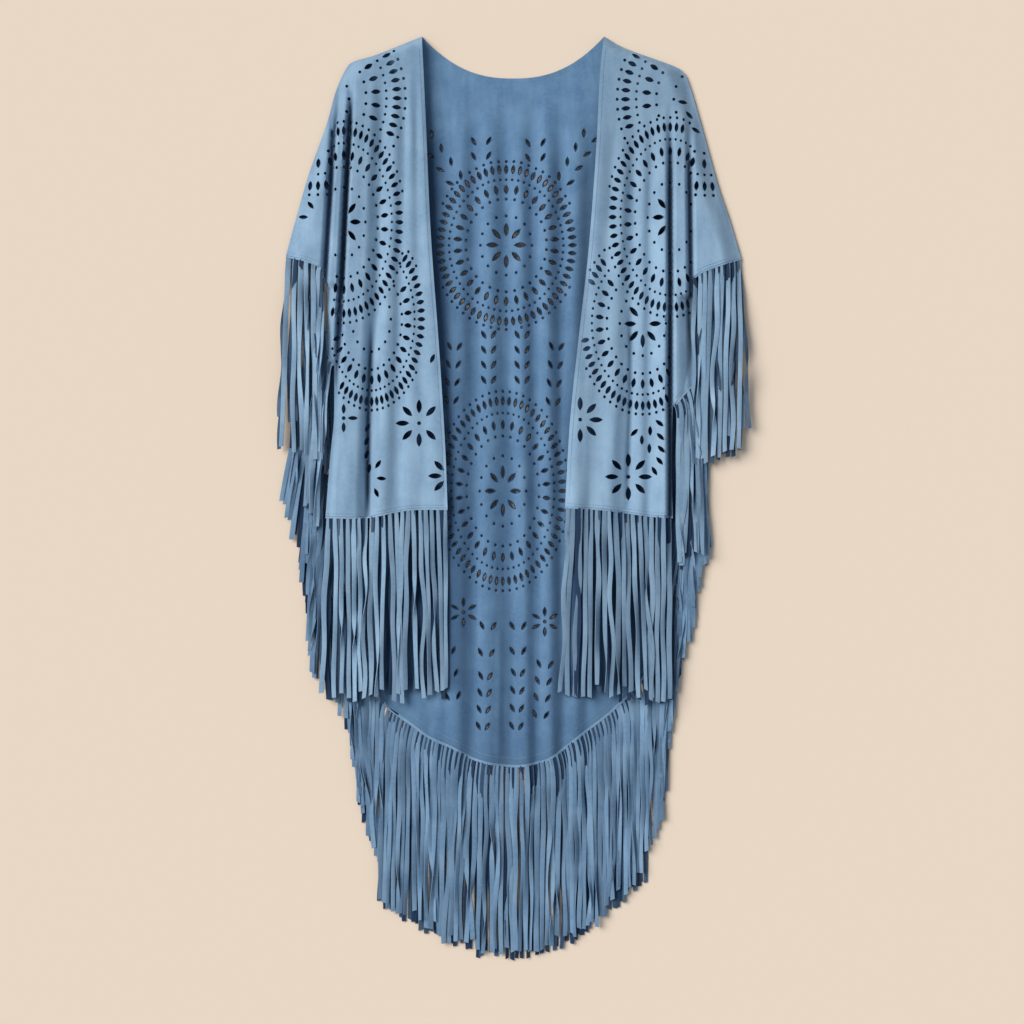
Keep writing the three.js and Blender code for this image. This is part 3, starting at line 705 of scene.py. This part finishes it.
def noise_factor(tree, coords, scale, detail, low, high, stretch=(1, 1, 1)):
    """Noise at features of about 1 / scale metres: from 0 at low to 1 at high, and raw."""
    mapping = node(tree, "ShaderNodeMapping")
    mapping.inputs["Scale"].default_value = stretch
    tree.links.new(coords, mapping.inputs["Vector"])
    texture = node(tree, "ShaderNodeTexNoise", Scale=scale, Detail=detail)
    tree.links.new(mapping.outputs["Vector"], texture.inputs["Vector"])
    ramp = node(tree, "ShaderNodeMapRange")
    ramp.inputs["From Min"].default_value = low
    ramp.inputs["From Max"].default_value = high
    tree.links.new(texture.outputs["Fac"], ramp.inputs["Value"])
    return ramp.outputs["Result"], texture.outputs["Fac"]


def suede(name, dark, base, light, deep=None):
    """Matt brushed suede: mottled nap, brushed streaks, a fine pile and a soft sheen."""
    material = bpy.data.materials.new(name)
    material.use_nodes = True
    tree = material.node_tree
    shader = tree.nodes["Principled BSDF"]
    coords = node(tree, "ShaderNodeTexCoord").outputs["Object"]
    patches, _ = noise_factor(tree, coords, *PATCH_NOISE)
    streaks, _ = noise_factor(tree, coords, *STREAK_NOISE, STREAK_STRETCH)
    mottle, mottle_raw = noise_factor(tree, coords, *MOTTLE_NOISE)
    pile, pile_raw = noise_factor(tree, coords, *PILE_NOISE)
    colour = mix_colour(tree, patches, base, light)
    colour = mix_colour(tree, scaled(tree, streaks, STREAKS), colour, dark)
    colour = mix_colour(tree, scaled(tree, mottle, MOTTLE), colour, light)
    colour = mix_colour(tree, scaled(tree, pile, PILE), colour, dark)
    # The tone attribute mixes in the deep colour: painted shade in creases, beside and below the
    # fronts and on hidden strands, besides the cloth's own deeper tones
    if deep:
        tone = node(tree, "ShaderNodeAttribute", attribute_name="tone")
        colour = mix_colour(tree, tone.outputs["Fac"], colour, deep)
    tree.links.new(colour, shader.inputs["Base Color"])
    for socket, value in SUEDE_SURFACE.items():
        shader.inputs[socket].default_value = value
    relief = node(tree, "ShaderNodeMath", operation="MULTIPLY_ADD")
    tree.links.new(mottle_raw, relief.inputs[0])
    relief.inputs[1].default_value = MOTTLE_RELIEF
    tree.links.new(pile_raw, relief.inputs[2])
    bump = node(tree, "ShaderNodeBump", Strength=RELIEF_STRENGTH, Distance=RELIEF_HEIGHT)
    tree.links.new(relief.outputs[0], bump.inputs["Height"])
    tree.links.new(bump.outputs["Normal"], shader.inputs["Normal"])
    return material


def srgb(red, green, blue):
    """A colour read off as 0 to 255, as the linear colour that a shader takes."""
    linear = [((c / 255 + 0.055) / 1.055) ** 2.4 if c > 10 else c / 3294.6
              for c in (red, green, blue)]
    return (*linear, 1.0)


FRONT_SUEDE = suede(
    "suede_front", srgb(106, 138, 168), srgb(130, 161, 189), srgb(147, 178, 204),
    deep=srgb(14, 42, 72))
# A lighter copy of the front suede for the right front: painted light
LIT_RIGHT_SUEDE = suede(
    "suede_front_right_lit", srgb(114, 147, 177), srgb(140, 171, 199), srgb(154, 185, 211),
    deep=srgb(14, 42, 72))
# The back's upper side is the suede's inside face, darker than the fronts' for that and by painted
# shade
BACK_SUEDE = suede(
    "suede_back", srgb(72, 106, 143), srgb(92, 128, 163), srgb(110, 146, 180),
    deep=srgb(24, 54, 88))
FRINGE_SUEDE = suede(
    "suede_fringe", srgb(100, 134, 166), srgb(138, 170, 198), srgb(158, 188, 213),
    deep=srgb(12, 40, 72))
BACK_FRINGE_SUEDE = suede(
    "suede_back_fringe", srgb(86, 120, 154), srgb(114, 148, 180), srgb(136, 168, 197),
    deep=srgb(12, 40, 72))
# Dark walls of the cut-outs and edges: the laser cut's own darkening, and painted shade in the
# cut-outs
CUT_EDGE = suede("suede_cut_edge", srgb(14, 36, 62), srgb(24, 50, 80), srgb(40, 70, 102))

# Each panel's upper side, its underside, and the walls of its cut-outs and edges
CLOTH_FINISHES = {
    "back": [BACK_SUEDE, FRONT_SUEDE, CUT_EDGE],
    "left": [FRONT_SUEDE, BACK_SUEDE, CUT_EDGE],
    "right": [LIT_RIGHT_SUEDE, BACK_SUEDE, CUT_EDGE],
}


# Fringe. edge: rows of the back's lower edge, a run of the front's own edge, or a sleeve hem.
# top and below: strands in the upper row and in the one below it. fall: their length. lean:
# how far their tips lie to the side, at shares of the edge. rest: the height that they lie at.
# heading: its width. leave: how far a strand leaves the edge before it hangs. tone: how deep;
# the back's sleeve fringes lie under the fronts' ones and are deeper by painted shade.
FRINGES = [
    dict(name="fringe_back", panel="back", edge=(6, 16), top=60, below=62, fall=240,
         lean=((0, -5), (1, 4)), rest=0.4, heading=3.5, leave=8, tone=0.12),
    dict(name="fringe_back_side_left", panel="back", edge=(0, 6), top=42, below=28, fall=212,
         lean=((0, -42), (0.08, -32), (0.2, -22), (0.45, -16), (0.5, -4), (0.56, 8), (0.62, 20),
               (0.76, 8), (1, 4)),
         rest=0.4, heading=3, leave=5, tone=0.12),
    dict(name="fringe_back_side_right", panel="back", edge=(16, 22), top=38, below=26, fall=212,
         lean=((0, -3), (0.2, -6), (0.35, -16), (0.55, -16), (0.65, -8), (0.85, -2), (1, 12)),
         rest=0.4, heading=3, leave=5, tone=0.14),
    dict(name="fringe_front_left", panel="left", edge=3, top=20, below=12, fall=230,
         lean=((0, -4), (1, 3)), rest=8.8, heading=2.5, leave=2, tone=0.1),
    dict(name="fringe_front_right", panel="right", edge=3, top=18, below=11, fall=230,
         lean=((0, -2), (1, 4)), rest=8.8, heading=2.5, leave=2, tone=0.22),
    dict(name="fringe_side_left", panel="left", edge=1, top=5, below=3, fall=205,
         lean=((0, -18), (1, -13)), rest=6.4, heading=3, leave=3, tone=0.1),
    dict(name="fringe_side_right", panel="right", edge=1, top=7, below=5, fall=205,
         lean=((0, 1), (1, 4)), rest=6.4, heading=3, leave=5, tone=0.2),
    dict(name="fringe_sleeve_left", panel="left", edge="sleeve", top=8, below=8, fall=238,
         lean=((0, -8), (0.7, 0), (1, 6)), rest=8.8, heading=2.5, leave=2, tone=0.05),
    dict(name="fringe_sleeve_right", panel="right", edge="sleeve", top=9, below=9, fall=238,
         lean=((0, -4), (1, 2)), rest=8.8, heading=2.5, leave=2, tone=0.05),
    dict(name="fringe_sleeve_back_left", panel="back", edge="sleeve_left", top=8, below=0,
         fall=214, lean=((0, -6), (1, 2)), rest=5.9, heading=2.5, leave=2, tone=0.5),
    dict(name="fringe_sleeve_back_right", panel="back", edge="sleeve_right", top=9, below=0,
         fall=214, lean=((0, -2), (1, 6)), rest=5.9, heading=2.5, leave=2, tone=0.5),
]
HEADING_GAP = 0.25
HEADING_BITE = 1.2
HEADING_TONE = 0.12
STRAND_WIDTH = 6.0
WIDTH_SPREAD = (0.84, 1.1)
LOWER_WIDTH = 0.9
STRAND_THICKNESS = 1.0
STRAND_STEPS = 30
LAYER_STEP = 2.8
TIP_SPREAD = 13
TURNED_SHARE = 0.32
LOWER_TURNING = 0.2
# Tones added to strands of the upper row, which differ at random, and of the row below, which are
# painted shade
TOP_TONE = (-0.06, 0.3)
LOWER_ROW_SHADE = (0.6, 1.0)
DEEPEST_STRAND = 0.95
FIRST_SEED = 1000

# A strand's sways, as size and waves along it; its rolls; and its lift, as size and waves
SWAYS = ((1.2, 0.8), (1.0, 1.9))
ROLL = (0.45, 1.1)
LIFT = (0.9, 1.3)
REST_SPREAD = 0.8
ROOT_RISE = 0.1
ROOT_DROP = 0.36
MOST_SLANT = 0.5

# The section of a strand: shares of its half width, and of its thickness
STRAND_SECTION = ((-1, 0.0), (1, 0.0), (1, 0.7), (0.1, 1.1), (-1, 0.7))

# Strands hang in bunches: the most in one, how far it lies to the side, and how its fall varies
BUNCH = dict(most=5, offset=6.5, shortest=-10, longest=4)

# Steps along the edges that fringes and stitching follow
BACK_STEP = 4.0
FRONT_STEP = 3.0
OPENING_STEP = 5.0

# How far down the strands of the fronts begin and cease to lie on the back
ON_BACK = (354, 865)

SLEEVE_HEM = {
    "left": [(-272, 262), (-243, 270), (-229, 278), (-225, 294)],
    "right": [(273, 265), (230, 280), (214, 290)],
}


def fringe_edge(spec):
    """The edge that a fringe is sewn to, running so that its outer side is on its left."""
    if spec["panel"] == "back" and isinstance(spec["edge"], tuple):
        first, last = spec["edge"]
        return curve_through(BACK_LOWER_EDGE[first:last + 1], BACK_STEP)
    if spec["edge"] in ("sleeve", "sleeve_left", "sleeve_right"):
        side = spec["panel"] if spec["edge"] == "sleeve" else spec["edge"][7:]
        run = curve_through(SLEEVE_HEM[side], FRONT_STEP)
        return run if side == "left" else run[::-1]
    run = curve_through(FRONT_OWN_EDGE[spec["panel"]][spec["edge"]], FRONT_STEP)
    return run if spec["panel"] == "left" else run[::-1]


def outward(row):
    """The direction square to each point of a row, away from the cloth."""
    along = np.gradient(row, axis=0)
    along /= np.linalg.norm(along, axis=1)[:, None]
    return np.stack([-along[:, 1], along[:, 0]], axis=1)


def lengths_along(row):
    return np.concatenate([[0], np.cumsum(np.linalg.norm(np.diff(row, axis=0), axis=1))])


def point_at(row, length, at):
    """The point of a row, with its lengths, that lies at a length along it."""
    return np.array([np.interp(at, length, row[:, k]) for k in (0, 1)])


class MeshParts:
    """Vertices, faces and per-vertex tones of many small parts, joined in one mesh."""

    def __init__(self):
        self.verts, self.faces, self.tones, self.count = [], [], [], 0

    def add(self, verts, faces, tone):
        """tone is one number, or one for each vertex."""
        self.verts.append(np.asarray(verts))
        self.faces += [[i + self.count for i in f] for f in faces]
        self.tones.append(np.broadcast_to(np.float32(tone), len(verts)))
        self.count += len(verts)

    def finish(self, name, materials):
        obj = new_object(name, np.vstack(self.verts), self.faces, materials,
                         sharp_angle=PARTS_SHARP_ANGLE)
        set_tone(obj, np.concatenate(self.tones))
        return obj


def loft(sections):
    """Vertices and faces of a closed solid through equal rings of points."""
    size = len(sections[0])
    faces = [list(range(size))[::-1]]
    for k in range(len(sections) - 1):
        a, b = k * size, (k + 1) * size
        for i in range(size):
            j = (i + 1) % size
            faces.append([a + i, a + j, b + j, b + i])
    last = (len(sections) - 1) * size
    faces.append([last + i for i in range(size)])
    return np.vstack(sections), faces


def heading_part(parts, edge, out, width, under):
    """The narrow strip that the strands are cut from."""
    z = under(edge[:, 0], edge[:, 1])
    sections = []
    for point, way, height in zip(edge, out, z):
        ring = []
        for off, up in ((HEADING_GAP, 0), (width, 0), (width, CLOTH), (HEADING_GAP, CLOTH)):
            at = point + way * off
            ring.append(to_world(at[0], at[1], height + up))
        sections.append(np.array(ring))
    verts, faces = loft(sections[::-1])
    parts.add(verts, faces, HEADING_TONE)


class Strand:
    """One ribbon of suede: it leaves the edge, hangs, sways, turns and is cut at a slant."""

    def __init__(self, root, way, leave, lean, fall, rng, width, turning=1.0):
        """turning is how freely it turns and lifts: less in the row below the others."""
        t = np.linspace(0, 1, STRAND_STEPS + 1) ** 1.15
        sway = rng.normal(0, 1, 3).clip(-2, 2)
        phase = rng.uniform(0, 2 * math.pi, 3)
        start = leave * (1 - np.exp(-t * fall / max(leave, 1)))
        hang = smooth(t, 0.02, 0.4)
        self.t = t
        self.x = (root[0] + way[0] * start + lean * (1.4 * t - 0.4 * t * t)
                  + SWAYS[0][0] * sway[0] * hang * np.sin(2 * math.pi * SWAYS[0][1] * t + phase[0])
                  + SWAYS[1][0] * sway[1] * hang * np.sin(2 * math.pi * SWAYS[1][1] * t + phase[1]))
        self.down = root[1] + way[1] * start + (fall - leave * max(way[1], 0)) * t
        self.roll = ROLL[0] * sway[2] * np.sin(2 * math.pi * ROLL[1] * t + phase[1])
        if rng.random() < TURNED_SHARE:
            begin = rng.uniform(0.1, 0.7)
            half_turn = math.pi * rng.choice([-1, 1])
            self.roll = self.roll + half_turn * smooth(t, begin, begin + rng.uniform(0.25, 0.5))
        self.roll = self.roll * smooth(t, 0.02, 0.2) * turning
        lift_wave = 1 + np.sin(2 * math.pi * LIFT[1] * t + phase[2])
        self.lift = LIFT[0] * turning * lift_wave * hang
        root_cut = 1 - 0.2 * (1 - smooth(t, 0.0, 0.12))
        self.half = width / 2 * root_cut * (1 - 0.08 * t + 0.05 * np.sin(9 * t + phase[2]))
        self.slant = rng.uniform(-MOST_SLANT, MOST_SLANT)

    def sections(self, z):
        """Rings of five points along the strand, which rests at the heights z."""
        rings = []
        last = len(self.t) - 1
        for k, half in enumerate(self.half):
            cos, sin = math.cos(self.roll[k]), math.sin(self.roll[k])
            clear = abs(sin) * half
            ring = []
            for wide, high in STRAND_SECTION:
                u, v = half * wide, (high - 0.5) * STRAND_THICKNESS
                across = u * cos - v * sin
                up = u * sin + v * cos + 0.5 * STRAND_THICKNESS + clear
                cut = self.slant * u if k == last else 0
                ring.append(to_world(self.x[k] + across, self.down[k] + cut, z[k] + up))
            rings.append(np.array(ring))
        return rings


def lies_on_back(strand):
    """The height at which each point of a front's strand clears the back and its folds."""
    x, down = strand.x, strand.down
    tops = [back_under(x + off, down) for off in (-STRAND_WIDTH, 0, STRAND_WIDTH)]
    height = np.max(tops, axis=0) + CLOTH * STEEPEST_WALL + SEAM_GAP
    return np.where((down >= ON_BACK[0]) & (down <= ON_BACK[1]), height, 0)


def add_strand(parts, spec, edge, out, length, share, on_top, bunch, bunch_fall, rng):
    """One strand from a share of the way along the edge, on top or in the row below."""
    at = point_at(edge, length, share * length[-1])
    way = point_at(out, length, share * length[-1])
    under = UNDERSIDES[spec["panel"]]
    lean = between(spec["lean"], share)
    fall = spec["fall"] - spec["heading"] + bunch_fall - rng.uniform(0, TIP_SPREAD)
    width = STRAND_WIDTH * rng.uniform(*WIDTH_SPREAD) * (1 if on_top else LOWER_WIDTH)
    root = at + way * (spec["heading"] - HEADING_BITE)
    strand = Strand(root, way, spec["leave"], lean + bunch, fall, rng, width,
                    1.0 if on_top else LOWER_TURNING)
    rest = spec["rest"] + (LAYER_STEP if on_top else 0) + rng.uniform(0, REST_SPREAD)
    root_z = float(under(at[:1], at[1:])[0]) + ROOT_RISE
    drop = smooth(strand.t, 0.0, ROOT_DROP)
    low = rest + strand.lift
    if spec["panel"] != "back":
        low = np.maximum(low, lies_on_back(strand))
    verts, faces = loft(strand.sections(root_z * (1 - drop) + low * drop))
    # Strands in the row below are darkened by painted shade
    tone = spec["tone"] + rng.uniform(*(TOP_TONE if on_top else LOWER_ROW_SHADE))
    tone = np.full(len(strand.t), tone)
    # Strands of the back that lie below the fronts get painted shade
    if spec["panel"] == "back":
        tone = np.maximum(tone, SHADE_BELOW_FRONT * shade_below_front(strand.x, strand.down))
    tone = tone.clip(0, DEEPEST_STRAND)
    parts.add(verts, faces, np.repeat(tone, len(verts) // len(strand.t)))


def add_fringes():
    """Each fringe with its heading, its lower row of strands and its bunched upper row."""
    made = {}
    for number, spec in enumerate(FRINGES):
        rng = np.random.default_rng(FIRST_SEED + number)
        edge = fringe_edge(spec)
        out = outward(edge)
        under = UNDERSIDES[spec["panel"]]
        parts = MeshParts()
        heading_part(parts, edge, out, spec["heading"], under)
        length = lengths_along(edge)
        places = [(i + rng.uniform(0.3, 0.7)) / spec["below"] for i in range(spec["below"])]
        for share in places:
            add_strand(parts, spec, edge, out, length, share, False, 0.0, 0.0, rng)
        bunch, bunch_fall, left_in_bunch = 0.0, 0.0, 0
        for i in range(spec["top"]):
            if left_in_bunch == 0:
                left_in_bunch = int(rng.integers(1, BUNCH["most"] + 1))
                bunch = rng.uniform(-BUNCH["offset"], BUNCH["offset"])
                bunch_fall = rng.uniform(BUNCH["shortest"], BUNCH["longest"])
            left_in_bunch -= 1
            share = (i + rng.uniform(0.35, 0.65)) / spec["top"]
            add_strand(parts, spec, edge, out, length, share, True, bunch, bunch_fall, rng)
        finish = BACK_FRINGE_SUEDE if spec["name"].startswith("fringe_back") else FRINGE_SUEDE
        made[spec["name"]] = parts.finish(f"{spec['name']}_strands", [finish])
    return made


# Stitching: short raised dashes along a line set in from an edge
STITCH_LENGTH = 2.3
STITCH_WIDTH = 0.55
STITCH_HEIGHT = 0.35
STITCH_SUNK = 0.2
STITCH_PITCH = 3.3
STITCH_SWELL = (0.5, 1.0, 0.5)
STITCH_TOP_SHARE = 0.6
HEM_INSET = 7.5
FRINGE_INSET = 3.2
NECK_INSET = 4.5
OPENING_INSET = 4.0


def stitch_line(parts, edge, inset, under, rise=CLOTH):
    """Dashes along a line that runs inset from an edge, on top of the cloth."""
    line = edge - outward(edge) * inset
    length = lengths_along(line)
    for at in np.arange(STITCH_PITCH, length[-1] - STITCH_PITCH, STITCH_PITCH):
        ends = np.array([point_at(line, length, at + s * STITCH_LENGTH / 2) for s in (-1, 0, 1)])
        way = (ends[2] - ends[0]) / np.linalg.norm(ends[2] - ends[0])
        wide = np.array([-way[1], way[0]]) * (STITCH_WIDTH / 2)
        narrow = wide * STITCH_TOP_SHARE
        sections = []
        for point, swell in zip(ends, STITCH_SWELL):
            base = float(under(point[:1], point[1:])[0] + rise) - STITCH_SUNK
            top = base + STITCH_SUNK + STITCH_HEIGHT * swell
            corners = (point - wide, point + wide, point + narrow, point - narrow)
            heights = (base, base, top, top)
            sections.append(np.array([to_world(*c, z) for c, z in zip(corners, heights)]))
        verts, faces = loft(sections)
        parts.add(verts, faces, 0.0)


def add_stitching():
    """A row above each fringe, and one along the neck and the fronts' openings."""
    thread = suede("suede_thread", srgb(92, 124, 155), srgb(112, 144, 174), srgb(128, 160, 188))
    made = {}
    slope_rise = CLOTH * 1.1
    for panel, under in UNDERSIDES.items():
        parts = MeshParts()
        for spec in FRINGES:
            if spec["panel"] == panel:
                inset = HEM_INSET if spec["name"] == "fringe_back" else FRINGE_INSET
                stitch_line(parts, fringe_edge(spec), inset, under, slope_rise)
        if panel == "back":
            stitch_line(parts, neck_curve(BACK_STEP)[2:-2], NECK_INSET, under)
        else:
            run = curve_through(FRONT_OWN_EDGE[panel][4], OPENING_STEP)[2:-3]
            run = run if panel == "left" else run[::-1]
            stitch_line(parts, run, OPENING_INSET, under, slope_rise)
        made[panel] = parts.finish(f"{CLOTH_NODES[panel]}_stitching", [thread])
    return made


# Camera: straight above, framed as in the photograph, at PIXEL millimetres for each pixel
PIXEL = 1.2
CENTRE_LINE_PIXEL = 513
NECK_PIXEL = 37
FRAME_PIXELS = 1024
LENS = 100
SENSOR = 36

# Light and floor: a broad, soft light from above on the left, and a pale even surface
SUN_PLACE = (-1.8, 1.0, 1.95)
SUN_STRENGTH = 3.18
SUN_SOFTNESS = math.radians(42)
SUN_COLOUR = (1.0, 0.951, 0.902)
SKY_COLOUR = (0.818, 0.909, 1.0, 1)
SKY_STRENGTH = 0.374
FLOOR_HALF = 4.0
FLOOR_DROP = 0.2 * MM
FLOOR_COLOUR = srgb(232, 215, 197)


def add_camera():
    camera = bpy.data.objects.new("camera", bpy.data.cameras.new("camera"))
    camera.data.type = "PERSP"
    camera.data.lens = LENS
    camera.data.sensor_width = SENSOR
    span = FRAME_PIXELS * PIXEL * MM
    x = (FRAME_PIXELS / 2 - CENTRE_LINE_PIXEL) * PIXEL * MM
    y = TOTAL_LENGTH / 2 * MM - (FRAME_PIXELS / 2 - NECK_PIXEL) * PIXEL * MM
    camera.location = (x, y, span * LENS / SENSOR)
    camera.data.clip_end = 50
    bpy.context.scene.collection.objects.link(camera)
    bpy.context.scene.camera = camera


def add_sun():
    light = bpy.data.objects.new("key", bpy.data.lights.new("key", "SUN"))
    light.data.energy = SUN_STRENGTH
    light.data.angle = SUN_SOFTNESS
    light.data.color = SUN_COLOUR
    light.location = SUN_PLACE
    light.rotation_euler = (-Vector(SUN_PLACE)).to_track_quat("-Z", "Y").to_euler()
    bpy.context.scene.collection.objects.link(light)


def add_sky():
    world = bpy.data.worlds.new("studio")
    world.use_nodes = True
    sky = world.node_tree.nodes["Background"]
    sky.inputs["Color"].default_value = SKY_COLOUR
    sky.inputs["Strength"].default_value = SKY_STRENGTH
    bpy.context.scene.world = world
    bpy.context.scene.view_settings.view_transform = "Standard"


def add_floor():
    half = FLOOR_HALF
    corners = [(-half, -half, 0), (half, -half, 0), (half, half, 0), (-half, half, 0)]
    plain = bpy.data.materials.new("floor_plain")
    plain.use_nodes = True
    shader = plain.node_tree.nodes["Principled BSDF"]
    shader.inputs["Base Color"].default_value = FLOOR_COLOUR
    shader.inputs["Roughness"].default_value = 0.95
    shader.inputs["Specular IOR Level"].default_value = 0.05
    floor = new_object("floor", corners, [(0, 1, 2, 3)], [plain])
    floor.location.z = -FLOOR_DROP


add_camera()
add_floor()
add_sun()
add_sky()
cloths = {panel: cloth_mesh(panel, CLOTH_FINISHES[panel]) for panel in UNDERSIDES}
fringes = add_fringes()
stitching = add_stitching()

for panel, piece in cloths.items():
    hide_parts(CLOTH_NODES[panel])
    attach(piece, "root")
for name, piece in fringes.items():
    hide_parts(name)
    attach(piece, "root")
for panel, piece in stitching.items():
    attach(piece, "root")
